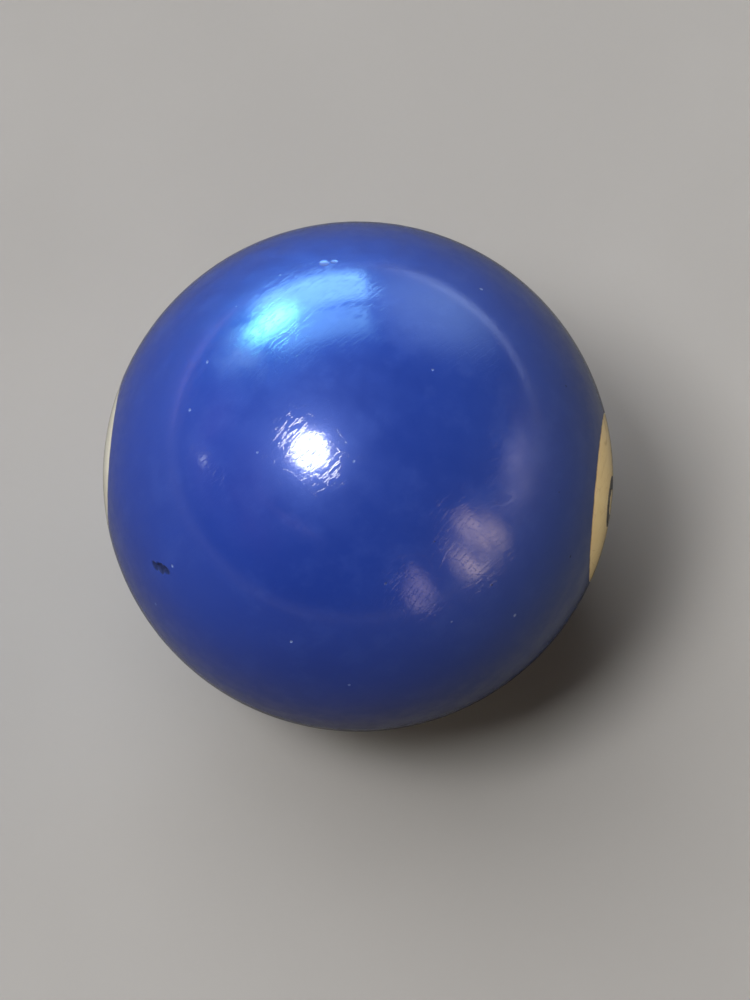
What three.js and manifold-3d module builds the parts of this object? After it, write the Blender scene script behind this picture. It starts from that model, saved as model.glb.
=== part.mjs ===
// A solid blue pool ball, the number 2 of a set: a cast resin sphere with a cream number disc let into each end
// of one diameter, and a dark numeral let into each disc.
//
// Millimetres, +Z up. The origin is the ball's centre and the number discs face +X and -X.

import * as THREE from "three";
import { mergeVertices } from "three/addons/utils/BufferGeometryUtils.js";
import Module from "manifold-3d";

// ---- driving dimensions -------------------------------------------------------------------------

const BALL_DIAMETER = 57.15; // regulation pool ball, 2 1/4 in
const DISC_DIAMETER = BALL_DIAMETER / 3; // number disc, 3/4 in
const DISC_DEPTH = 5; // from the top of the disc's dome to the flat floor of its socket
const BOND_GAP = 0.1; // between a disc and its socket, filled by the bond

const NUMERAL_HEIGHT = 8.2;
const NUMERAL_WIDTH = 5.9;
const STROKE = 1.55; // width of the numeral's strokes
const BOWL_END = THREE.MathUtils.degToRad(170); // where the open end of the numeral's bowl stops, from +x
const FOOT_SHOULDER = 0.75 * STROKE; // height of the foot's left end, where the diagonal meets it
const NUMERAL_DEPTH = 1.6; // from the top of the dome to the numeral's flat back
const INLAY_GAP = 0.3; // between a numeral and the pocket it lies in
const NUMERAL_LEAN = THREE.MathUtils.degToRad(38); // how far the numerals lean over as the ball lies

const TURNS = 64; // facets around the disc axis, the same on every round piece
const SPHERE_STEPS = 40; // facets along the ball's profile between its two sockets
const DOME_STEPS = 8; // facets along a disc's domed face
const ARC_STEPS = 14; // facets along an arc of the numeral

// ---- worked out from them -----------------------------------------------------------------------

const BALL_RADIUS = BALL_DIAMETER / 2;
const DISC_RADIUS = DISC_DIAMETER / 2;
const SOCKET_RADIUS = DISC_RADIUS + BOND_GAP;
const SOCKET_FLOOR = BALL_RADIUS - DISC_DEPTH;

// ---- materials ----------------------------------------------------------------------------------

const blueResin = new THREE.MeshStandardMaterial({ color: 0x1b318f, roughness: 0.12, metalness: 0 });
const creamResin = new THREE.MeshStandardMaterial({ color: 0xcdbf96, roughness: 0.25, metalness: 0 });
const darkResin = new THREE.MeshStandardMaterial({ color: 0x17161a, roughness: 0.25, metalness: 0 });

// ---- solids -------------------------------------------------------------------------------------

const wasm = await Module();
wasm.setup();

const SAME_POINT = 1e-4; // vertices closer than this are one

function toSolid(geometry) {
  const bare = geometry.clone();
  bare.deleteAttribute("normal");
  bare.deleteAttribute("uv");
  const merged = mergeVertices(bare, SAME_POINT);
  const mesh = new wasm.Mesh({
    numProp: 3,
    vertProperties: new Float32Array(merged.attributes.position.array),
    triVerts: new Uint32Array(merged.index.array),
  });
  return new wasm.Manifold(mesh);
}

function toGeometry(solid) {
  const mesh = solid.getMesh();
  const geometry = new THREE.BufferGeometry();
  geometry.setAttribute("position", new THREE.BufferAttribute(mesh.vertProperties, 3));
  geometry.setIndex(new THREE.BufferAttribute(mesh.triVerts, 1));
  geometry.computeVertexNormals();
  return geometry;
}

// Turns a profile about the X axis. Each point is (radius, x), from the axis at -X to the axis at +X.
function latheAboutX(profile) {
  return new THREE.LatheGeometry(profile, TURNS).rotateZ(-Math.PI / 2);
}

// Points of the ball's own arc, from x = from to x = to, spaced evenly by angle.
function sphereArc(from, to, steps) {
  const start = Math.asin(from / BALL_RADIUS);
  const end = Math.asin(to / BALL_RADIUS);
  const points = [];
  for (let i = 0; i <= steps; i += 1) {
    const angle = start + ((end - start) * i) / steps;
    points.push(new THREE.Vector2(BALL_RADIUS * Math.cos(angle), BALL_RADIUS * Math.sin(angle)));
  }
  return points;
}

// ---- ball body ----------------------------------------------------------------------------------

function ballBody() {
  const rim = Math.sqrt(BALL_RADIUS ** 2 - SOCKET_RADIUS ** 2);
  const profile = [
    new THREE.Vector2(0, -SOCKET_FLOOR),
    new THREE.Vector2(SOCKET_RADIUS, -SOCKET_FLOOR),
    ...sphereArc(-rim, rim, SPHERE_STEPS),
    new THREE.Vector2(SOCKET_RADIUS, SOCKET_FLOOR),
    new THREE.Vector2(0, SOCKET_FLOOR),
  ];
  return latheAboutX(profile);
}

// ---- number disc --------------------------------------------------------------------------------

// The plug before the numeral's pocket is cut: a flat back, a straight wall and a face on the ball's sphere.
function discBlank() {
  const rim = Math.sqrt(BALL_RADIUS ** 2 - DISC_RADIUS ** 2);
  const dome = sphereArc(rim, BALL_RADIUS, DOME_STEPS);
  dome[dome.length - 1].x = 0;
  const back = SOCKET_FLOOR + BOND_GAP;
  return latheAboutX([new THREE.Vector2(0, back), new THREE.Vector2(DISC_RADIUS, back), ...dome]);
}

// ---- numeral ------------------------------------------------------------------------------------

// Outline of a plain 2, centred on the origin and grown by the given margin all round: a round bowl, a diagonal
// that runs on from the bowl without a corner, and a flat foot.
function numeralOutline(margin) {
  const bowlRadius = NUMERAL_WIDTH / 2;
  const bowl = new THREE.Vector2(0, NUMERAL_HEIGHT / 2 - bowlRadius);
  const outer = bowlRadius + margin;
  const inner = bowlRadius - STROKE - margin;

  // The diagonal's upper edge is a tangent of the bowl's inside, drawn from the corner above the foot.
  const corner = new THREE.Vector2(-NUMERAL_WIDTH / 2, -NUMERAL_HEIGHT / 2 + FOOT_SHOULDER);
  const toBowl = bowl.clone().sub(corner);
  const slope = toBowl.angle() - Math.asin((bowlRadius - STROKE) / toBowl.length());
  const touch = slope - Math.PI / 2;
  const diagonal = new THREE.Vector2(Math.cos(slope), Math.sin(slope));
  const outward = new THREE.Vector2(Math.cos(touch), Math.sin(touch));
  const upperTouch = bowl.clone().addScaledVector(outward, inner);
  const lowerTouch = bowl.clone().addScaledVector(outward, outer);

  const left = -NUMERAL_WIDTH / 2 - margin;
  const right = NUMERAL_WIDTH / 2 + margin;
  const bottom = -NUMERAL_HEIGHT / 2 - margin;
  const footTop = -NUMERAL_HEIGHT / 2 + STROKE + margin;
  const upperEnd = upperTouch.y - ((upperTouch.x - left) * diagonal.y) / diagonal.x;
  const lowerEnd = lowerTouch.x - ((lowerTouch.y - footTop) * diagonal.x) / diagonal.y;

  const tip = BOWL_END + margin / (bowlRadius - STROKE / 2);
  const outline = new THREE.Shape();
  outline.moveTo(left, bottom);
  outline.lineTo(right, bottom);
  outline.lineTo(right, footTop);
  outline.lineTo(lowerEnd, footTop);
  outline.absarc(bowl.x, bowl.y, outer, touch, tip, false);
  outline.absarc(bowl.x, bowl.y, inner, tip, touch, true);
  outline.lineTo(left, upperEnd);
  outline.closePath();
  return outline;
}

// A straight prism of the numeral along +X, from its back to beyond the dome, leaning as the ball lies.
function numeralPrism(margin) {
  const back = BALL_RADIUS - NUMERAL_DEPTH - margin;
  const prism = new THREE.ExtrudeGeometry(numeralOutline(margin), {
    depth: 2 * NUMERAL_DEPTH,
    bevelEnabled: false,
    curveSegments: ARC_STEPS,
  });
  prism.rotateX(Math.PI / 2);
  prism.rotateZ(Math.PI / 2);
  prism.rotateX(NUMERAL_LEAN);
  prism.translate(back, 0, 0);
  return toSolid(prism);
}

function numberDisc() {
  return toGeometry(toSolid(discBlank()).subtract(numeralPrism(INLAY_GAP)));
}

function numeral() {
  return toGeometry(toSolid(discBlank()).intersect(numeralPrism(0)));
}

// ---- assembly -----------------------------------------------------------------------------------

function part(name, geometry, material) {
  const mesh = new THREE.Mesh(geometry, material);
  mesh.name = name;
  return mesh;
}

// One end of the ball, facing +X: the disc and the numeral in it.
function numberedEnd(side) {
  const end = new THREE.Group();
  end.add(part(`number_disc_${side}`, numberDisc(), creamResin));
  end.add(part(`numeral_${side}`, numeral(), darkResin));
  return end;
}

const rightEnd = numberedEnd("right");
const leftEnd = numberedEnd("left");
leftEnd.rotation.z = Math.PI;

const ball = new THREE.Group();
ball.add(part("ball_body", ballBody(), blueResin));
ball.add(rightEnd);
ball.add(leftEnd);

export default ball;
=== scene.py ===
"""A used, solid blue pool ball with its two number discs, lying on a pale floor under soft studio light."""

import math
import random

import bmesh
import bpy
from mathutils import Matrix, Vector, geometry, kdtree


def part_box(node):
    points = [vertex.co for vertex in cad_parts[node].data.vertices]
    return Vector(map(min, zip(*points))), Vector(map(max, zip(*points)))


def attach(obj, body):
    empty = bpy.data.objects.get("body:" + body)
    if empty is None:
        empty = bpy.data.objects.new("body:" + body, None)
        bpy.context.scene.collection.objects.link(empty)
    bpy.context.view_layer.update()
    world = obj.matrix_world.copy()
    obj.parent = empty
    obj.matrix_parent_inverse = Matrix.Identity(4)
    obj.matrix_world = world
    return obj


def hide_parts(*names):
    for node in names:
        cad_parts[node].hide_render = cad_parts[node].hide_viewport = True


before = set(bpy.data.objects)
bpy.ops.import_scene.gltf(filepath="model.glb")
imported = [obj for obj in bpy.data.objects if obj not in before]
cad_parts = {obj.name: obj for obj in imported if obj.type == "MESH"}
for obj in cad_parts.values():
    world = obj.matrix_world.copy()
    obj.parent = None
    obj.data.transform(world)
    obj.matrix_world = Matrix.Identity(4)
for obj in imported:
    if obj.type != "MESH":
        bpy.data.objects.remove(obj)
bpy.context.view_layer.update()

MM = 0.001

# ---- sizes, from the frame ----------------------------------------------------------------------

BALL_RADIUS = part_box("ball_body")[1].z
DISC_LOW, DISC_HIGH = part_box("number_disc_right")
DISC_RADIUS = DISC_HIGH.z
DISC_BACK = DISC_LOW.x
NUMERAL_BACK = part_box("numeral_right")[0].x

# ---- numeral, as in the CAD ---------------------------------------------------------------------

NUMERAL_HEIGHT = 8.2 * MM
NUMERAL_WIDTH = 5.9 * MM
STROKE = 1.55 * MM
BOWL_END = math.radians(170)
FOOT_SHOULDER = 0.75 * STROKE
NUMERAL_LEAN = math.radians(38)

# ---- fine detail --------------------------------------------------------------------------------

SEAM = 0.02 * MM  # width of the joint round a disc or a numeral
SOFT_EDGE = 0.05 * MM  # how far an edge at a joint is rounded over
ON_SPHERE = 0.002 * MM  # a vertex this close to the sphere takes the sphere's own normal
BALL_TURNS = 288  # facets round the axis through the two discs
BALL_STEPS = 176  # facets from one socket to the other
DISC_TURNS = 180  # facets round a disc's edge
FILL_SPACING = 0.45 * MM  # between points inside a disc's face
ROW_SPACING = 0.866 * FILL_SPACING  # between rows of them, for triangles of equal sides
EDGE_CLEARANCE = 0.55  # how far those points stay from an edge, in shares of their spacing
SAME_SPOT = 1e-9  # points of a face closer than this are one

BODY = "root"


# ---- small helpers ------------------------------------------------------------------------------


def direction(azimuth, elevation):
    """Unit vector at that azimuth from +X towards +Y and that elevation, both in degrees."""
    around = math.radians(azimuth)
    up = math.radians(elevation)
    return Vector((math.cos(up) * math.cos(around), math.cos(up) * math.sin(around), math.sin(up)))


def smoothstep(low, high, value):
    t = min(max((value - low) / (high - low), 0.0), 1.0)
    return t * t * (3 - 2 * t)


def on_sphere(y, z, sink=0.0):
    """The point of the ball's surface over (y, z) on its +X side, let in by sink."""
    point = Vector((math.sqrt(BALL_RADIUS**2 - y * y - z * z), y, z))
    return point * (1 - sink / BALL_RADIUS)


def tree_of(points):
    tree = kdtree.KDTree(len(points))
    for index, point in enumerate(points):
        tree.insert(point, index)
    tree.balance()
    return tree


def mesh_object(name, mesh):
    item = bpy.data.objects.new(name, mesh)
    bpy.context.scene.collection.objects.link(item)
    return item


def smooth_with_true_normals(mesh):
    """Smooth shading that follows the exact sphere wherever a vertex lies on it."""
    mesh.update()
    normals = []
    for vertex in mesh.vertices:
        away = vertex.co.normalized()
        off_sphere = abs(vertex.co.length - BALL_RADIUS) > ON_SPHERE
        normals.append(vertex.normal.copy() if off_sphere else away)
    for polygon in mesh.polygons:
        polygon.use_smooth = True
    mesh.normals_split_custom_set_from_vertices(normals)


# ---- ball body ----------------------------------------------------------------------------------


def ball_profile():
    """(radius, x) points from the floor of the -X socket, over the ball, to the floor of the +X one."""
    socket = DISC_RADIUS + SEAM
    mouth = socket + SOFT_EDGE
    tilt = math.acos(mouth / BALL_RADIUS)
    rim = BALL_RADIUS * math.sin(tilt)
    bend = 0.3 * SOFT_EDGE  # the middle of the rounded mouth, short of its sharp corner
    half = [(0.0, DISC_BACK - SEAM), (socket, DISC_BACK - SEAM)]
    half += [(socket, rim - SOFT_EDGE), (socket + bend, rim - bend)]
    arc = []
    for i in range(BALL_STEPS + 1):
        angle = -tilt + 2 * tilt * i / BALL_STEPS
        arc.append((BALL_RADIUS * math.cos(angle), BALL_RADIUS * math.sin(angle)))
    return [(r, -x) for r, x in half] + arc + [(r, x) for r, x in reversed(half)]


def revolve(profile, turns):
    """A closed bmesh of a profile turned about the X axis. The profile starts and ends on the axis."""
    bm = bmesh.new()
    rings = []
    for radius, x in profile[1:-1]:
        ring = []
        for k in range(turns):
            angle = 2 * math.pi * k / turns
            ring.append(bm.verts.new((x, radius * math.cos(angle), radius * math.sin(angle))))
        rings.append(ring)
    for lower, upper in zip(rings, rings[1:]):
        for k in range(turns):
            n = (k + 1) % turns
            bm.faces.new((lower[k], lower[n], upper[n], upper[k]))
    bm.faces.new(list(reversed(rings[0])))
    bm.faces.new(rings[-1])
    bmesh.ops.recalc_face_normals(bm, faces=bm.faces)
    return bm


# Wear marks on the blue resin: azimuth and elevation in degrees, radius and depth in millimetres,
# how much dirt lies in each and how much paler, bare resin it shows.
MARKS = [
    (-138.0, 24.9, 0.80, 0.20, 0.95, 0.0),
    (-139.6, 23.8, 0.66, 0.12, 0.90, 0.0),
    (-136.4, 26.1, 0.60, 0.10, 0.90, 0.0),
    (-135.4, 28.8, 0.20, 0.04, 0.0, 0.7),
    (106, 56, 0.62, 0.06, 0.0, 0.40),
    (102, 56, 0.42, 0.05, 0.0, 0.35),
    (50, 46, 0.22, 0.05, 0.0, 0.6),
    (16, 71, 0.16, 0.03, 0.0, 0.5),
    (6, 71, 0.14, 0.03, 0.0, 0.5),
    (-99, 28, 0.20, 0.05, 0.0, 0.9),
    (-85, 16, 0.20, 0.05, 0.0, 0.7),
    (-100, 14, 0.14, 0.04, 0.0, 0.7),
    (-43, 20, 0.22, 0.05, 0.0, 0.7),
    (-73, 44, 0.18, 0.04, 0.5, 0.2),
    (-137, 65, 0.16, 0.03, 0.0, 0.6),
]
STRAY_MARKS = 46  # small ones, drawn all over the ball from a seed. Those near a disc are left out.
CLEAR_OF_DISCS = 0.92  # a mark further than this along X, in shares of the radius, is near a disc
STRAY_SEED = 21
OUTLINE_SEED = 5
STRAY_RADIUS = (0.07, 0.2)  # in millimetres
STRAY_DEPTH = 0.22  # of the radius
DIRTY_SHARE = 0.35  # of the stray marks. The others show bare resin.
STRAY_DIRT = 0.8
STRAY_BARE = 0.6

FINE_EDGE = 0.05 * MM  # the mesh is split down to this round a mark, or to
FINE_STEPS = 7  # this many edges to the mark's radius
FINE_REACH = 1.25  # of the radius. The mesh is split this far out, and about one face more.

# The profile of a mark. Its floor, slope, lip and cover are in shares of the distance to its outline.
MARK_FLOOR = 0.35  # flat this far out, then it slopes up to the outline
MARK_REACH = 1.4  # of the radius. Faces with their middle beyond this are left alone.
LIP_PLACE = 1.08  # where the raised lip round it is highest
LIP_WIDTH = 0.1
LIP_HEIGHT = 0.12  # of the depth
COVER = (0.7, 1.02)  # dirt and bare resin fade out from the first to the second
RAGGED = 0.3  # how far the outline strays from round, for the first lobe


def all_marks():
    draw = random.Random(STRAY_SEED)
    marks = []
    for azimuth, elevation, radius, depth, dirt, bare in MARKS:
        marks.append((direction(azimuth, elevation), radius * MM, depth * MM, dirt, bare))
    for _ in range(STRAY_MARKS):
        where = Vector([draw.gauss(0, 1) for _ in range(3)]).normalized()
        radius = draw.uniform(*STRAY_RADIUS) * MM
        dirty = draw.random() < DIRTY_SHARE
        if abs(where.x) <= CLEAR_OF_DISCS:
            dirt = STRAY_DIRT if dirty else 0.0
            bare = 0.0 if dirty else STRAY_BARE
            marks.append((where, radius, STRAY_DEPTH * radius, dirt, bare))
    return marks


def faces_near(seeds, centre, reach):
    """Faces whose middle lies within reach of centre, found by walking out from the seed vertices."""
    waiting = [face for vertex in seeds for face in vertex.link_faces]
    seen = set(waiting)
    near = []
    while waiting:
        face = waiting.pop()
        if (face.calc_center_median() - centre).length > reach:
            continue
        near.append(face)
        for edge in face.edges:
            for other in edge.link_faces:
                if other not in seen:
                    seen.add(other)
                    waiting.append(other)
    return near


def split_round_marks(bm, tree, marks):
    """Splits the surface finely round the marks, level by level, and lays each new vertex on the sphere."""
    spacing = 2 * math.pi * BALL_RADIUS / BALL_TURNS
    around = []
    for where, radius, _, _, _ in marks:
        centre = where * BALL_RADIUS
        around.append([index for _, index, _ in tree.find_range(centre, radius + 2 * spacing)])
    while spacing > FINE_EDGE:
        bm.verts.ensure_lookup_table()
        edges = {}
        for (where, radius, _, _, _), indices in zip(marks, around):
            if spacing > radius / FINE_STEPS:
                seeds = [bm.verts[index] for index in indices]
                near = faces_near(seeds, where * BALL_RADIUS, FINE_REACH * radius + 1.2 * spacing)
                edges.update(dict.fromkeys(edge for face in near for edge in face.edges))
        made = bmesh.ops.subdivide_edges(bm, edges=list(edges), cuts=1, use_grid_fill=True)
        for item in made["geom_inner"]:
            if isinstance(item, bmesh.types.BMVert):
                item.co = item.co.normalized() * BALL_RADIUS
        spacing /= 2


def press_mark(seeds, dirt_layer, bare_layer, mark, draw):
    """Presses one ragged pit into the sphere and notes its dirt and bare resin on the vertices."""
    where, radius, depth, dirt, bare = mark
    centre = where * BALL_RADIUS
    across = where.orthogonal().normalized()
    along = where.cross(across)
    lobes = []
    for n in (2, 3, 5, 7):
        lobes.append((n, draw.uniform(-RAGGED, RAGGED) / n, draw.uniform(0, 2 * math.pi)))
    touched = {v for face in faces_near(seeds, centre, MARK_REACH * radius) for v in face.verts}
    for vertex in touched:
        offset = vertex.co - centre
        turn = math.atan2(offset.dot(along), offset.dot(across))
        outline = radius * (1 + sum(size * math.cos(n * turn + phase) for n, size, phase in lobes))
        far = offset.length / outline
        sink = depth * (1 - smoothstep(MARK_FLOOR, 1.0, far))
        lip = LIP_HEIGHT * depth * math.exp(-(((far - LIP_PLACE) / LIP_WIDTH) ** 2))
        vertex.co = vertex.co * (1 - (sink - lip) / BALL_RADIUS)
        cover = 1 - smoothstep(*COVER, far)
        vertex[dirt_layer] = max(vertex[dirt_layer], dirt * cover)
        vertex[bare_layer] = max(vertex[bare_layer], bare * cover)


def ball_body():
    bm = revolve(ball_profile(), BALL_TURNS)
    dirt_layer = bm.verts.layers.float.new("dirt")
    bare_layer = bm.verts.layers.float.new("bare")
    bm.verts.ensure_lookup_table()
    tree = tree_of([vertex.co for vertex in bm.verts])
    marks = all_marks()
    split_round_marks(bm, tree, marks)
    bm.verts.ensure_lookup_table()
    draw = random.Random(OUTLINE_SEED)
    for mark in marks:
        centre = mark[0] * BALL_RADIUS
        seeds = [bm.verts[i] for _, i, _ in tree.find_range(centre, mark[1] + 1.5 * MM)]
        press_mark(seeds, dirt_layer, bare_layer, mark, draw)
    mesh = bpy.data.meshes.new("cast_ball")
    bm.to_mesh(mesh)
    bm.free()
    smooth_with_true_normals(mesh)
    return mesh_object("cast_ball", mesh)


# ---- number discs and numerals ------------------------------------------------------------------


def line_points(start, end, steps):
    return [start.lerp(end, i / steps) for i in range(steps)]


def arc_points(centre, radius, start, end, steps):
    points = []
    for i in range(steps):
        angle = start + (end - start) * i / steps
        points.append(centre + radius * Vector((math.cos(angle), math.sin(angle))))
    return points


def numeral_outline(margin):
    """Outline of the 2, grown by margin all round, as many points whatever the margin."""
    bowl_radius = NUMERAL_WIDTH / 2
    bowl = Vector((0.0, NUMERAL_HEIGHT / 2 - bowl_radius))
    outer = bowl_radius + margin
    inner = bowl_radius - STROKE - margin

    corner = Vector((-NUMERAL_WIDTH / 2, -NUMERAL_HEIGHT / 2 + FOOT_SHOULDER))
    to_bowl = bowl - corner
    slope = math.atan2(to_bowl.y, to_bowl.x) - math.asin((bowl_radius - STROKE) / to_bowl.length)
    touch = slope - math.pi / 2
    outward = Vector((math.cos(touch), math.sin(touch)))
    upper_touch = bowl + outward * inner
    lower_touch = bowl + outward * outer

    left = -NUMERAL_WIDTH / 2 - margin
    right = NUMERAL_WIDTH / 2 + margin
    bottom = -NUMERAL_HEIGHT / 2 - margin
    foot_top = -NUMERAL_HEIGHT / 2 + STROKE + margin
    upper_end = Vector((left, upper_touch.y - (upper_touch.x - left) * math.tan(slope)))
    lower_end = Vector((lower_touch.x - (lower_touch.y - foot_top) / math.tan(slope), foot_top))
    tip = BOWL_END + margin / (bowl_radius - STROKE / 2)
    outer_tip = bowl + outer * Vector((math.cos(tip), math.sin(tip)))
    inner_tip = bowl + inner * Vector((math.cos(tip), math.sin(tip)))

    points = line_points(Vector((left, bottom)), Vector((right, bottom)), 20)
    points += line_points(Vector((right, bottom)), Vector((right, foot_top)), 6)
    points += line_points(Vector((right, foot_top)), lower_end, 10)
    points += line_points(lower_end, lower_touch, 10)
    points += arc_points(bowl, outer, touch, tip, 40)
    points += line_points(outer_tip, inner_tip, 6)
    points += arc_points(bowl, inner, tip, touch, 28)
    points += line_points(upper_touch, upper_end, 16)
    points += line_points(upper_end, Vector((left, bottom)), 5)
    lean = Matrix.Rotation(NUMERAL_LEAN, 2)
    return [lean @ point for point in points]


def circle_outline(radius):
    return arc_points(Vector((0.0, 0.0)), radius, 0.0, 2 * math.pi, DISC_TURNS)


def inside(point, polygon):
    hit = False
    for a, b in zip(polygon, polygon[1:] + polygon[:1]):
        if (a.y > point.y) != (b.y > point.y):
            if point.x < (b.x - a.x) * (point.y - a.y) / (b.y - a.y) + a.x:
                hit = not hit
    return hit


def fill_points(keep):
    """Points of a triangular grid over the disc that the keep test lets stay."""
    rows = int(DISC_RADIUS / ROW_SPACING) + 1
    columns = int(DISC_RADIUS / FILL_SPACING) + 1
    points = []
    for row in range(-rows, rows + 1):
        for column in range(-columns, columns + 1):
            shift = 0.5 * (row % 2)
            point = Vector(((column + shift) * FILL_SPACING, row * ROW_SPACING))
            if keep(point):
                points.append(point)
    return points


def triangulate(loops, extra, keep):
    """Triangles over closed loops and loose points, as indices into the points it also returns."""
    points = []
    edges = []
    for loop in loops:
        first = len(points)
        points += loop
        edges += [(first + i, first + (i + 1) % len(loop)) for i in range(len(loop))]
    count = len(points)
    points += extra
    result = geometry.delaunay_2d_cdt(points, edges, [], 0, SAME_SPOT)
    spots, triangles, origins = result[0], result[2], result[3]
    kept = []
    for triangle in triangles:
        middle = sum((spots[i] for i in triangle), Vector((0.0, 0.0))) / 3
        if keep(middle):
            kept.append(triangle)
    place = {}
    for new, old in enumerate(origins):
        for index in old:
            if index < count:
                place[index] = new
    return spots, kept, place


def inlay_face(bm, loops):
    """A face on the sphere that fills the first loop less the second. Returns each loop's vertices."""
    edge_points = tree_of([point.to_3d() for loop in loops for point in loop])
    clearance = EDGE_CLEARANCE * FILL_SPACING

    def in_face(point):
        return inside(point, loops[0]) and not any(inside(point, hole) for hole in loops[1:])

    def clear_of_edges(point):
        return edge_points.find(point.to_3d())[2] > clearance and in_face(point)

    spots, triangles, place = triangulate(loops, fill_points(clear_of_edges), in_face)
    verts = [bm.verts.new(on_sphere(spot.x, spot.y)) for spot in spots]
    for triangle in triangles:
        bm.faces.new([verts[i] for i in triangle])
    rims = []
    first = 0
    for loop in loops:
        rims.append([verts[place[first + i]] for i in range(len(loop))])
        first += len(loop)
    return rims


def inlay_wall(bm, rim, loop, back):
    """From a rim of the face, over the rounded edge and down to the flat back, then the back itself."""
    bend = [bm.verts.new(on_sphere(p.x, p.y, SOFT_EDGE)) for p in loop]
    foot = [bm.verts.new((back, p.x, p.y)) for p in loop]
    for a, b in ((rim, bend), (bend, foot)):
        for i in range(len(loop)):
            n = (i + 1) % len(loop)
            bm.faces.new((a[i], a[n], b[n], b[i]))
    _, patches, spot_of = triangulate([loop], [], lambda spot: inside(spot, loop))
    at = {spot_of[i]: foot[i] for i in range(len(loop))}
    for patch in patches:
        bm.faces.new([at[i] for i in patch])


def inlay_solid(name, turn, outer, hole, back, hole_back):
    """A closed solid with a face on the sphere, an outer wall, and a pocket where a hole is given.

    It is made on the +X side and then turned. outer and hole are functions that give a closed loop
    of points for a margin. Each edge of the face is rounded over by SOFT_EDGE."""
    bm = bmesh.new()
    loops = [outer(-SOFT_EDGE)]
    if hole:
        loops.append(hole(SOFT_EDGE))
    rims = inlay_face(bm, loops)
    inlay_wall(bm, rims[0], outer(0.0), back)
    if hole:
        inlay_wall(bm, rims[1], hole(0.0), hole_back)
    bmesh.ops.recalc_face_normals(bm, faces=bm.faces)
    bm.transform(turn)
    mesh = bpy.data.meshes.new(name)
    bm.to_mesh(mesh)
    bm.free()
    smooth_with_true_normals(mesh)
    return mesh_object(name, mesh)


def number_disc(name, turn):
    return inlay_solid(
        name,
        turn,
        outer=lambda margin: circle_outline(DISC_RADIUS + margin),
        hole=lambda margin: numeral_outline(SEAM + margin),
        back=DISC_BACK,
        hole_back=NUMERAL_BACK - SEAM,
    )


def numeral(name, turn):
    return inlay_solid(name, turn, numeral_outline, None, NUMERAL_BACK, None)


# ---- materials ----------------------------------------------------------------------------------


class Nodes:
    """Short ways to build the node tree of a material, a lamp or the world."""

    def __init__(self, owner):
        owner.use_nodes = True
        self.owner = owner
        self.tree = owner.node_tree
        self.shader = self.tree.nodes.get("Principled BSDF")

    def link(self, value, socket):
        if isinstance(value, bpy.types.NodeSocket):
            self.tree.links.new(value, socket)
        else:
            socket.default_value = value

    def add(self, kind, settings=None, **inputs):
        node = self.tree.nodes.new(kind)
        for key, value in (settings or {}).items():
            setattr(node, key, value)
        for key, value in inputs.items():
            self.link(value, node.inputs[key.replace("_", " ")])
        return node

    def maths(self, operation, *values):
        node = self.tree.nodes.new("ShaderNodeMath")
        node.operation = operation
        for value, socket in zip(values, node.inputs):
            self.link(value, socket)
        return node.outputs[0]

    def vector(self, operation, *values):
        node = self.tree.nodes.new("ShaderNodeVectorMath")
        node.operation = operation
        for value, socket in zip(values, node.inputs):
            self.link(value, socket)
        return node

    def millimetres(self):
        """Object coordinates in millimetres."""
        place = self.add("ShaderNodeTexCoord").outputs["Object"]
        return self.vector("MULTIPLY", place, (1 / MM, 1 / MM, 1 / MM)).outputs[0]

    def noise(self, place, scale, detail=3.0, roughness=0.5):
        node = self.add("ShaderNodeTexNoise", Vector=place, Scale=scale, Detail=detail)
        node.inputs["Roughness"].default_value = roughness
        return node.outputs["Fac"]

    def ramp(self, value, low, high, start=0.0, end=1.0):
        """value from low to high, mapped to start to end and held there beyond them."""
        node = self.add("ShaderNodeMapRange", Value=value)
        node.interpolation_type = "SMOOTHSTEP"
        for key, number in (("From Min", low), ("From Max", high), ("To Min", start), ("To Max", end)):
            node.inputs[key].default_value = number
        return node.outputs["Result"]

    def blend(self, amount, first, second):
        node = self.tree.nodes.new("ShaderNodeMix")
        node.data_type = "RGBA"
        for socket, value in zip((0, 6, 7), (amount, first, second)):
            self.link(value, node.inputs[socket])
        return node.outputs[2]

    def attribute(self, name):
        node = self.add("ShaderNodeAttribute", {"attribute_name": name})
        return node.outputs["Fac"]

    def bump(self, height, distance, strength=1.0):
        node = self.add("ShaderNodeBump", Height=height)
        node.inputs["Distance"].default_value = distance
        node.inputs["Strength"].default_value = strength
        return node.outputs["Normal"]


BEND_SCALE = 0.11  # how fast a scratch wanders, in cells of noise per millimetre
BEND = 5.0  # how far it wanders at most, in scratch spacings
TILT_SPREAD = 0.16  # how far scratches with one main direction stray from it
RUN = (0.50, 0.62)  # noise over which a scratch comes and goes along its length
APART = 7.31  # how far apart, in millimetres, two neighbouring scratches read that noise


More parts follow.
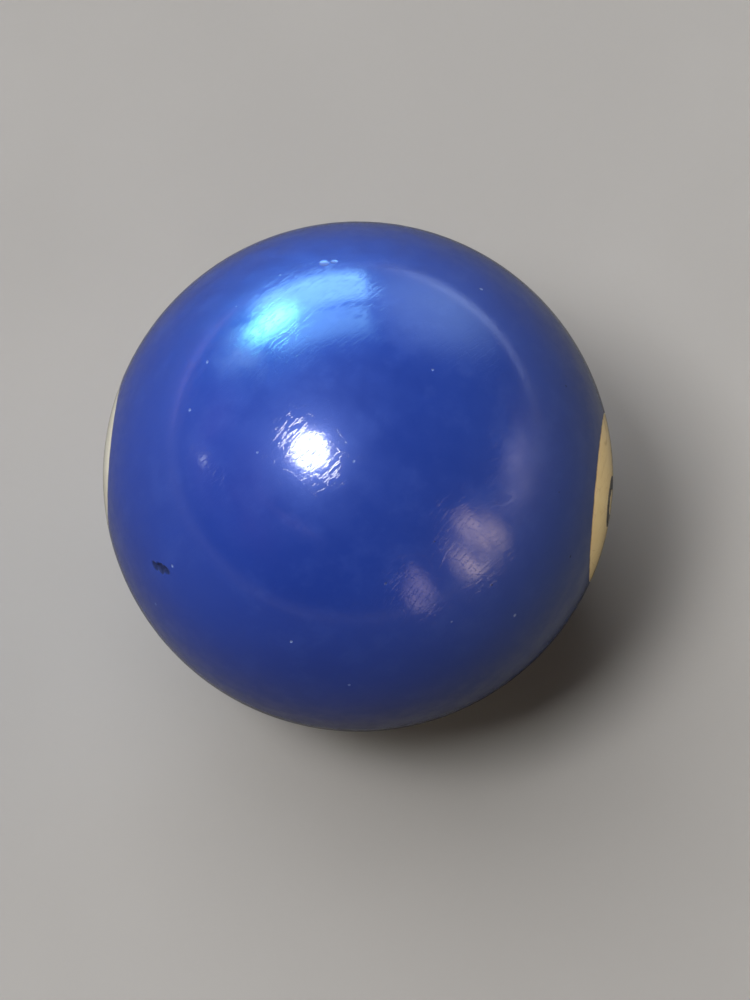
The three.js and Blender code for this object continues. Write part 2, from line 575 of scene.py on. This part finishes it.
def hairlines(nodes, place, seed, count, spacing, width, reach, across=None):
    """Fine scratches: thin grooves where planes cut the sphere.

    Each of count sets has grooves about spacing apart and width wide, in millimetres, broken into
    runs about reach long. The planes lie anyhow, or with their normals close to across."""
    draw = random.Random(seed)
    bend = nodes.noise(place, BEND_SCALE, 1.0)
    total = None
    for _ in range(count):
        axis = Vector([draw.gauss(0, 1) for _ in range(3)])
        if across:
            axis = Vector(across) + TILT_SPREAD * axis
        axis = axis.normalized() * (-1 if draw.random() < 0.5 else 1)
        along = nodes.vector("DOT_PRODUCT", place, tuple(axis / spacing)).outputs["Value"]
        phase = nodes.maths("MULTIPLY_ADD", bend, draw.uniform(-BEND, BEND), along)
        middle = nodes.maths("SUBTRACT", nodes.maths("FRACT", phase), 0.5)
        line = nodes.ramp(nodes.maths("ABSOLUTE", middle), 0.0, width / spacing / 2, 1.0, 0.0)
        # Each groove reads the noise at its own place, so that neighbours break off apart.
        groove_number = nodes.maths("FLOOR", phase)
        shift = nodes.maths("MULTIPLY_ADD", groove_number, APART, draw.uniform(-50, 50))
        shifted = nodes.add("ShaderNodeCombineXYZ", X=shift, Y=0.0, Z=0.0)
        spot = nodes.vector("ADD", place, shifted.outputs[0]).outputs[0]
        run = nodes.ramp(nodes.noise(spot, 1 / reach, 1.0), *RUN)
        groove = nodes.maths("MULTIPLY", line, run)
        total = groove if total is None else nodes.maths("MAXIMUM", total, groove)
    return total


def seam_dirt(nodes, place):
    """Grime gathered along the joint between a number disc and the ball."""
    flat = nodes.vector("MULTIPLY", place, (0.0, 1.0, 1.0)).outputs[0]
    from_axis = nodes.vector("LENGTH", flat).outputs["Value"]
    off_joint = nodes.maths("ABSOLUTE", nodes.maths("SUBTRACT", from_axis, DISC_RADIUS / MM))
    patchy = nodes.ramp(nodes.noise(place, 0.9, 4.0), 0.3, 0.7, 0.35, 1.0)
    close = nodes.ramp(off_joint, 0.02, 0.22, 1.0, 0.0)
    return nodes.maths("MULTIPLY", close, patchy)


# Linear colours. Scales of noise are in cells per millimetre, and heights are in millimetres.
BLUE = (0.0132, 0.0375, 0.262, 1)
BLUE_CLOUD = (0.0150, 0.0425, 0.288, 1)
BLUE_GRAIN = (0.024, 0.062, 0.35, 1)
# Paler blue of painted haze: patches that stand in for the soft sheen a rubbed surface shows round a
# highlight.
BLUE_PAINTED_HAZE = (0.030, 0.066, 0.34, 1)
BLUE_BARE = (0.20, 0.27, 0.50, 1)
GRIME = (0.012, 0.013, 0.018, 1)
CREAM = (0.90, 0.86, 0.72, 1)
CREAM_AGED = (0.84, 0.77, 0.58, 1)
CREAM_GRAIN = (0.91, 0.88, 0.77, 1)
CREAM_CRACK = (0.30, 0.22, 0.12, 1)
CREAM_GRIME = (0.06, 0.045, 0.03, 1)
DARK = (0.010, 0.010, 0.013, 1)
DARK_CLOUD = (0.022, 0.021, 0.025, 1)
DARK_SCRATCH = (0.16, 0.15, 0.14, 1)

RUB_ACROSS = (-0.82, 0.54, 0.16)  # across the way most of the rubbing on the blue resin ran
# The scratches that hairlines draws.
GROOVES = {"seed": 4, "count": 6, "spacing": 0.62, "width": 0.15, "reach": 1.2, "across": RUB_ACROSS}
RUBS = {"seed": 9, "count": 4, "spacing": 1.5, "width": 0.13, "reach": 1.1}
LONG_SCRATCHES = {"seed": 8, "count": 3, "spacing": 9.0, "width": 0.12, "reach": 5.0}
CREAM_SCRATCHES = {"seed": 14, "count": 4, "spacing": 1.9, "width": 0.09, "reach": 3.0}
DARK_SCRATCHES = {"seed": 27, "count": 4, "spacing": 1.7, "width": 0.09, "reach": 3.0}
GROOVE_HEIGHT = -0.0064
RUB_HEIGHT = -0.0040
LONG_SCRATCH_HEIGHT = -0.0035
DENT_HEIGHT = 0.0012
BASE_BUMP = 0.4  # how much of the wear in the clear surface the colour below it follows
INLAY_SCRATCH = 0.006 * MM  # depth of the scratches in a disc or a numeral


def blue_colour(nodes, place, dirt, bare):
    cloud = nodes.ramp(nodes.noise(place, 0.055, 3.0), 0.35, 0.65)
    grain = nodes.ramp(nodes.noise(place, 1.4, 4.0, 0.65), 0.3, 0.7)
    hazy_patches = nodes.ramp(nodes.noise(place, 0.26, 4.0, 0.65), 0.48, 0.70)
    colour = nodes.blend(cloud, BLUE, BLUE_CLOUD)
    colour = nodes.blend(nodes.maths("MULTIPLY", grain, 0.07), colour, BLUE_GRAIN)
    # Paler blue patches at random places over the ball: painted haze, not a colour of the resin itself.
    colour = nodes.blend(nodes.maths("MULTIPLY", hazy_patches, 0.35), colour, BLUE_PAINTED_HAZE)
    colour = nodes.blend(bare, colour, BLUE_BARE)
    return nodes.blend(nodes.maths("MULTIPLY", dirt, 0.85), colour, GRIME)


def blue_relief(nodes, place):
    """Height of the rubbed and scratched surface, in millimetres."""
    patches = nodes.ramp(nodes.noise(place, 0.22, 4.0, 0.6), 0.34, 0.62, 0.6, 1.0)
    grooves = nodes.maths("MULTIPLY", hairlines(nodes, place, **GROOVES), patches)
    rubs = nodes.maths("MULTIPLY", hairlines(nodes, place, **RUBS), patches)
    long_ones = hairlines(nodes, place, **LONG_SCRATCHES)
    height = nodes.maths("MULTIPLY", nodes.noise(place, 0.9, 3.0, 0.5), DENT_HEIGHT)
    height = nodes.maths("MULTIPLY_ADD", rubs, RUB_HEIGHT, height)
    height = nodes.maths("MULTIPLY_ADD", grooves, GROOVE_HEIGHT, height)
    return nodes.maths("MULTIPLY_ADD", long_ones, LONG_SCRATCH_HEIGHT, height)


def blue_resin():
    """Coloured resin under a clear, rubbed surface. The lower, tinted gloss is its soft haze."""
    nodes = Nodes(bpy.data.materials.new("blue_resin_worn"))
    place = nodes.millimetres()
    dirt = nodes.maths("MAXIMUM", nodes.attribute("dirt"), seam_dirt(nodes, place))
    bare = nodes.attribute("bare")

    haze = nodes.ramp(nodes.noise(place, 0.35, 4.0, 0.6), 0.35, 0.65)
    rough = nodes.maths("ADD", nodes.maths("MULTIPLY", haze, 0.10), 0.33)
    dull = nodes.maths("MULTIPLY", nodes.maths("MAXIMUM", dirt, bare), 0.3)
    dirty = nodes.maths("MULTIPLY", dirt, 0.9)
    worn = nodes.maths("MAXIMUM", dirty, nodes.maths("MULTIPLY", bare, 0.7))
    height = blue_relief(nodes, place)

    shader = nodes.shader
    nodes.link(blue_colour(nodes, place, dirt, bare), shader.inputs["Base Color"])
    nodes.link(nodes.maths("ADD", rough, dull), shader.inputs["Roughness"])
    nodes.link(nodes.bump(height, MM, BASE_BUMP), shader.inputs["Normal"])
    nodes.link(nodes.bump(height, MM), shader.inputs["Coat Normal"])
    nodes.link(nodes.maths("SUBTRACT", 1.0, worn), shader.inputs["Coat Weight"])
    shader.inputs["Coat Roughness"].default_value = 0.10
    shader.inputs["Coat IOR"].default_value = 1.45
    shader.inputs["IOR"].default_value = 1.5
    shader.inputs["Specular IOR Level"].default_value = 0.54
    shader.inputs["Specular Tint"].default_value = (0.27, 0.40, 1.0, 1)
    return nodes.owner


def finish_inlay(nodes, colour, rough, lines, shine):
    """Links what a disc's and a numeral's resin share: scratches cut along lines, and a clear shine."""
    normal = nodes.bump(nodes.maths("MULTIPLY", lines, -1.0), INLAY_SCRATCH)
    shader = nodes.shader
    nodes.link(colour, shader.inputs["Base Color"])
    nodes.link(rough, shader.inputs["Roughness"])
    nodes.link(normal, shader.inputs["Normal"])
    nodes.link(normal, shader.inputs["Coat Normal"])
    nodes.link(shine, shader.inputs["Coat Weight"])
    shader.inputs["Coat Roughness"].default_value = 0.06
    shader.inputs["Specular IOR Level"].default_value = 0.25


def cream_crazing(nodes, place):
    """Fine cracks in patches, and scratches."""
    cells = nodes.add("ShaderNodeTexVoronoi", {"feature": "DISTANCE_TO_EDGE"}, Vector=place, Scale=0.55)
    cracks = nodes.ramp(cells.outputs["Distance"], 0.0, 0.035, 1.0, 0.0)
    patches = nodes.ramp(nodes.noise(place, 0.35, 2.0), 0.5, 0.62)
    cracks = nodes.maths("MULTIPLY", cracks, patches)
    fine = hairlines(nodes, place, **CREAM_SCRATCHES)
    return nodes.maths("MAXIMUM", nodes.maths("MULTIPLY", cracks, 0.6), fine)


def cream_resin():
    nodes = Nodes(bpy.data.materials.new("cream_resin_aged"))
    place = nodes.millimetres()
    cloud = nodes.ramp(nodes.noise(place, 0.16, 4.0, 0.6), 0.3, 0.7)
    grain = nodes.ramp(nodes.noise(place, 2.6, 4.0, 0.6), 0.3, 0.7)
    lines = cream_crazing(nodes, place)
    dirt = seam_dirt(nodes, place)
    colour = nodes.blend(cloud, CREAM, CREAM_AGED)
    colour = nodes.blend(nodes.maths("MULTIPLY", grain, 0.25), colour, CREAM_GRAIN)
    colour = nodes.blend(nodes.maths("MULTIPLY", lines, 0.4), colour, CREAM_CRACK)
    colour = nodes.blend(nodes.maths("MULTIPLY", dirt, 0.8), colour, CREAM_GRIME)

    hazy_patches = nodes.ramp(nodes.noise(place, 0.3, 5.0, 0.6), 0.4, 0.7)
    rough = nodes.maths("ADD", nodes.maths("MULTIPLY", hazy_patches, 0.12), 0.28)
    rough = nodes.maths("ADD", rough, nodes.maths("MULTIPLY", lines, 0.15))
    shine = nodes.maths("SUBTRACT", 0.95, nodes.maths("MULTIPLY", dirt, 0.8))
    finish_inlay(nodes, colour, rough, lines, shine)
    return nodes.owner


def dark_resin():
    nodes = Nodes(bpy.data.materials.new("dark_resin_inlaid"))
    place = nodes.millimetres()
    cloud = nodes.ramp(nodes.noise(place, 0.9, 4.0, 0.6), 0.3, 0.7)
    fine = hairlines(nodes, place, **DARK_SCRATCHES)
    colour = nodes.blend(cloud, DARK, DARK_CLOUD)
    colour = nodes.blend(nodes.maths("MULTIPLY", fine, 0.5), colour, DARK_SCRATCH)
    rough = nodes.maths("ADD", nodes.maths("MULTIPLY", cloud, 0.1), 0.3)
    finish_inlay(nodes, colour, rough, fine, 0.9)
    return nodes.owner


# ---- pieces -------------------------------------------------------------------------------------


def place_piece(piece, node, material):
    piece.data.materials.append(material)
    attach(piece, BODY)
    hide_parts(node)


def build_pieces():
    blue = blue_resin()
    cream = cream_resin()
    dark = dark_resin()
    place_piece(ball_body(), "ball_body", blue)
    for side, half_turns in (("right", 0), ("left", 1)):
        turn = Matrix.Rotation(math.pi * half_turns, 4, "Z")
        disc = number_disc(f"cast_disc_{side}", turn)
        figure = numeral(f"cast_numeral_{side}", turn)
        place_piece(disc, f"number_disc_{side}", cream)
        place_piece(figure, f"numeral_{side}", dark)


# ---- floor, light and camera --------------------------------------------------------------------

FLOOR_SIZE = 8.0  # metres
CLOTH_DROP = 0.2 * MM  # how far the mirrored cloth lies below the floor the camera sees
# Each floor drifts between two linear colours.
PALE = ((0.31, 0.302, 0.292, 1), (0.33, 0.322, 0.312, 1))
DARK_CLOTH = ((0.090, 0.087, 0.084, 1), (0.110, 0.106, 0.102, 1))
HORIZON = (0.37, 0.355, 0.36, 1)
ROOM = (0.03, 0.032, 0.042, 1)
HORIZON_BAND = (0.05, 0.13)  # heights, as the sine of the elevation, over which it turns into the room

LIGHT_DISTANCE = 6.0  # metres, from the ball's centre
# name, azimuth, elevation, width and height as seen from the ball, all in degrees, then radiance
LAMP = ("ceiling_lamp", -147.5, 69.2, 15.4, 15.4, (62.0, 64.0, 66.0))
WINDOW = ("window", 110, 27, 46, 46, (3.8, 8.7, 13.6))
SASH_HEIGHT = 0.53  # of the window's height
# Soft boxes that light the pieces but do not show in them.
SOFT_BOXES = [
    ("lamp_light", -147.5, 69.2, 17, 17, (26.0, 25.8, 25.4)),
    ("soft_fill", 140, 58, 56, 56, (2.75, 2.7, 2.7)),
    ("warm_side", 14, 7, 36, 14, (9.6, 6.6, 1.8)),
    ("cool_side", 178, 9, 40, 15, (4.2, 4.3, 4.2)),
]
# Cards that show only in reflections. The last two numbers are the share of the half width that fades
# out and how ragged the card is.
CARDS = [
    ("window_glare", 128, 24, 28, 20, (8.0, 33.0, 34.0), 0.8, 0),
    ("window_smear", 141, 24, 30, 34, (3.2, 5.2, 6.6), 1.0, 0.8),
    ("wall_by_window", 70, 20, 56, 60, (1.2, 1.8, 2.6), 0.8, 0),
    ("skyline_right", 62, 3, 76, 6, (0.9, 1.1, 1.7), 0.5, 0.4),
    ("skyline_left", 150, 3, 56, 6, (0.9, 0.6, 1.2), 0.6, 0.4),
    ("ceiling_left", -164, 32, 84, 50, (0.34, 0.17, 0.34), 0.6, 0.8),
    ("card_right", -30, 11, 31, 46, (6.4, 4.7, 3.6), 0.6, 0.8),
    ("card_far_right", 2, 12, 44, 22, (2.6, 2.4, 3.2), 0.9, 0.7),
    ("card_low", -59, 10, 15, 34, (4.0, 3.0, 3.2), 0.8, 0.6),
    ("ceiling_edge", -119, 41, 32, 7, (0.9, 0.7, 1.1), 0.9, 0.4),
    ("small_lamp", -173, 20, 6, 6, (6.0, 6.4, 7.0), 0.8, 0),
]


def area_light(name, azimuth, elevation, width, height, radiance):
    """An area light that faces the ball and looks that big and that bright from it."""
    lamp = bpy.data.lights.new(name, "AREA")
    lamp.shape = "RECTANGLE"
    lamp.size = 2 * LIGHT_DISTANCE * math.tan(math.radians(width / 2))
    lamp.size_y = 2 * LIGHT_DISTANCE * math.tan(math.radians(height / 2))
    brightest = max(radiance)
    lamp.color = [value / brightest for value in radiance]
    lamp.energy = brightest * math.pi * lamp.size * lamp.size_y
    item = bpy.data.objects.new(name, lamp)
    bpy.context.scene.collection.objects.link(item)
    towards = direction(azimuth, elevation)
    item.location = towards * LIGHT_DISTANCE
    item.rotation_euler = towards.to_track_quat("Z", "Y").to_euler()
    return item


def add_lamp():
    """The lamp's bright disc, as the ball mirrors it. Its light comes from the soft box lamp_light."""
    item = area_light(*LAMP)
    item.visible_diffuse = False
    item.data.shape = "ELLIPSE"
    item.data.energy *= math.pi / 4


def add_card(name, azimuth, elevation, width, height, radiance, fade, ragged):
    """A round card that fades out towards its edge and shows only in reflections."""
    item = area_light(name, azimuth, elevation, width, height, radiance)
    item.visible_diffuse = False
    nodes = Nodes(item.data)
    place = nodes.add("ShaderNodeNewGeometry").outputs["Parametric"]
    from_middle = nodes.vector("SUBTRACT", place, (0.5, 0.5, 0.0)).outputs[0]
    far = nodes.vector("LENGTH", from_middle).outputs["Value"]
    strength = nodes.ramp(far, 0.5 * (1 - fade), 0.5, 1.0, 0.0)
    drawn_up = nodes.vector("MULTIPLY", place, (3.6, 1.8, 0.0)).outputs[0]
    blots = nodes.ramp(nodes.noise(drawn_up, 1.0, 2.0), 0.38, 0.60, 1.0 - ragged, 1.0)
    nodes.link(nodes.maths("MULTIPLY", strength, blots), nodes.tree.nodes["Emission"].inputs["Strength"])


def add_window():
    """A window with a sharp jamb on one side, a sash bar, a bright lower part and a curtain above it.

    across and up both run from 0 to 1 over the lamp."""
    item = area_light(*WINDOW)
    item.visible_diffuse = False
    nodes = Nodes(item.data)
    place = nodes.add("ShaderNodeNewGeometry").outputs["Parametric"]
    parts = nodes.add("ShaderNodeSeparateXYZ", Vector=place)
    across, up = parts.outputs[0], parts.outputs[1]
    jamb = nodes.ramp(across, 0.13, 0.17)
    sides = nodes.maths("MULTIPLY", jamb, nodes.ramp(across, 0.75, 1.0, 1.0, 0.0))
    lower = nodes.maths("MULTIPLY", nodes.ramp(up, 0.0, 0.14), nodes.ramp(up, 0.44, 0.52, 1.0, 0.55))
    curtain = nodes.maths("MULTIPLY", lower, nodes.ramp(up, 0.78, 1.0, 1.0, 0.0))
    off_bar = nodes.maths("ABSOLUTE", nodes.maths("SUBTRACT", up, SASH_HEIGHT))
    bar = nodes.ramp(off_bar, 0.025, 0.07, 0.85, 0.0)
    bar = nodes.maths("MULTIPLY", bar, nodes.ramp(across, 0.35, 0.6, 1.0, 0.0))
    glass = nodes.maths("MULTIPLY", sides, curtain)
    strength = nodes.maths("MULTIPLY", glass, nodes.maths("SUBTRACT", 1.0, bar))
    nodes.link(strength, nodes.tree.nodes["Emission"].inputs["Strength"])


def floor_sheet(name, height, colours):
    half = FLOOR_SIZE / 2
    mesh = bpy.data.meshes.new(name)
    corners = [(-half, -half), (half, -half), (half, half), (-half, half)]
    mesh.from_pydata([(x, y, height) for x, y in corners], [], [(0, 1, 2, 3)])
    floor = mesh_object(name, mesh)
    nodes = Nodes(bpy.data.materials.new(name))
    tone = nodes.ramp(nodes.noise(nodes.millimetres(), 0.02, 3.0), 0.3, 0.7)
    nodes.link(nodes.blend(tone, *colours), nodes.shader.inputs["Base Color"])
    nodes.shader.inputs["Roughness"].default_value = 0.9
    nodes.shader.inputs["Specular IOR Level"].default_value = 0.1
    floor.data.materials.append(nodes.owner)
    return floor


def add_floor():
    """The pale floor the camera sees, and just below it the darker cloth that the ball mirrors.

    The photo's ball lies on dark cloth. A pale floor mirrored in it would grey the whole outline."""
    seen = floor_sheet("pale_floor", -BALL_RADIUS, PALE)
    seen.visible_glossy = False
    seen.visible_diffuse = False
    seen.visible_shadow = False
    mirrored = floor_sheet("mirrored_cloth", -BALL_RADIUS - CLOTH_DROP, DARK_CLOTH)
    mirrored.visible_camera = False


def add_world():
    """A dim room above a pale band at the height of the horizon."""
    world = bpy.data.worlds.new("room")
    bpy.context.scene.world = world
    nodes = Nodes(world)
    place = nodes.add("ShaderNodeTexCoord").outputs["Generated"]
    height = nodes.add("ShaderNodeSeparateXYZ", Vector=place).outputs["Z"]
    colour = nodes.blend(nodes.ramp(height, *HORIZON_BAND), HORIZON, ROOM)
    nodes.link(colour, nodes.tree.nodes["Background"].inputs["Color"])


# The angles are in degrees. The azimuth is measured from -Y towards +X.
CAMERA_AZIMUTH = 12.1
CAMERA_ELEVATION = 68.7
CAMERA_ROLL = -6.3
CAMERA_DISTANCE = 20.5 * BALL_RADIUS
CAMERA_LENS = 188.0
# Where the camera aims, off the ball's centre to the right and up in the picture.
AIM_RIGHT = 1.90 * MM
AIM_UP = -2.63 * MM


def add_camera():
    lens = bpy.data.cameras.new("camera")
    lens.lens = CAMERA_LENS
    lens.clip_start = 0.01
    lens.clip_end = 50
    camera = bpy.data.objects.new("camera", lens)
    bpy.context.scene.collection.objects.link(camera)
    around = math.radians(CAMERA_AZIMUTH)
    up = math.radians(CAMERA_ELEVATION)
    back = Vector((math.sin(around) * math.cos(up), -math.cos(around) * math.cos(up), math.sin(up)))
    turn = back.to_track_quat("Z", "Y").to_matrix() @ Matrix.Rotation(math.radians(CAMERA_ROLL), 3, "Z")
    aim = turn @ Vector((AIM_RIGHT, AIM_UP, 0))
    camera.matrix_world = Matrix.Translation(aim + back * CAMERA_DISTANCE) @ turn.to_4x4()
    bpy.context.scene.camera = camera


build_pieces()
add_floor()
add_lamp()
for box in SOFT_BOXES:
    area_light(*box).visible_glossy = False
add_window()
for card in CARDS:
    add_card(*card)
add_world()
add_camera()
bpy.context.scene.view_settings.view_transform = "Standard"

bpy.context.view_layer.update()
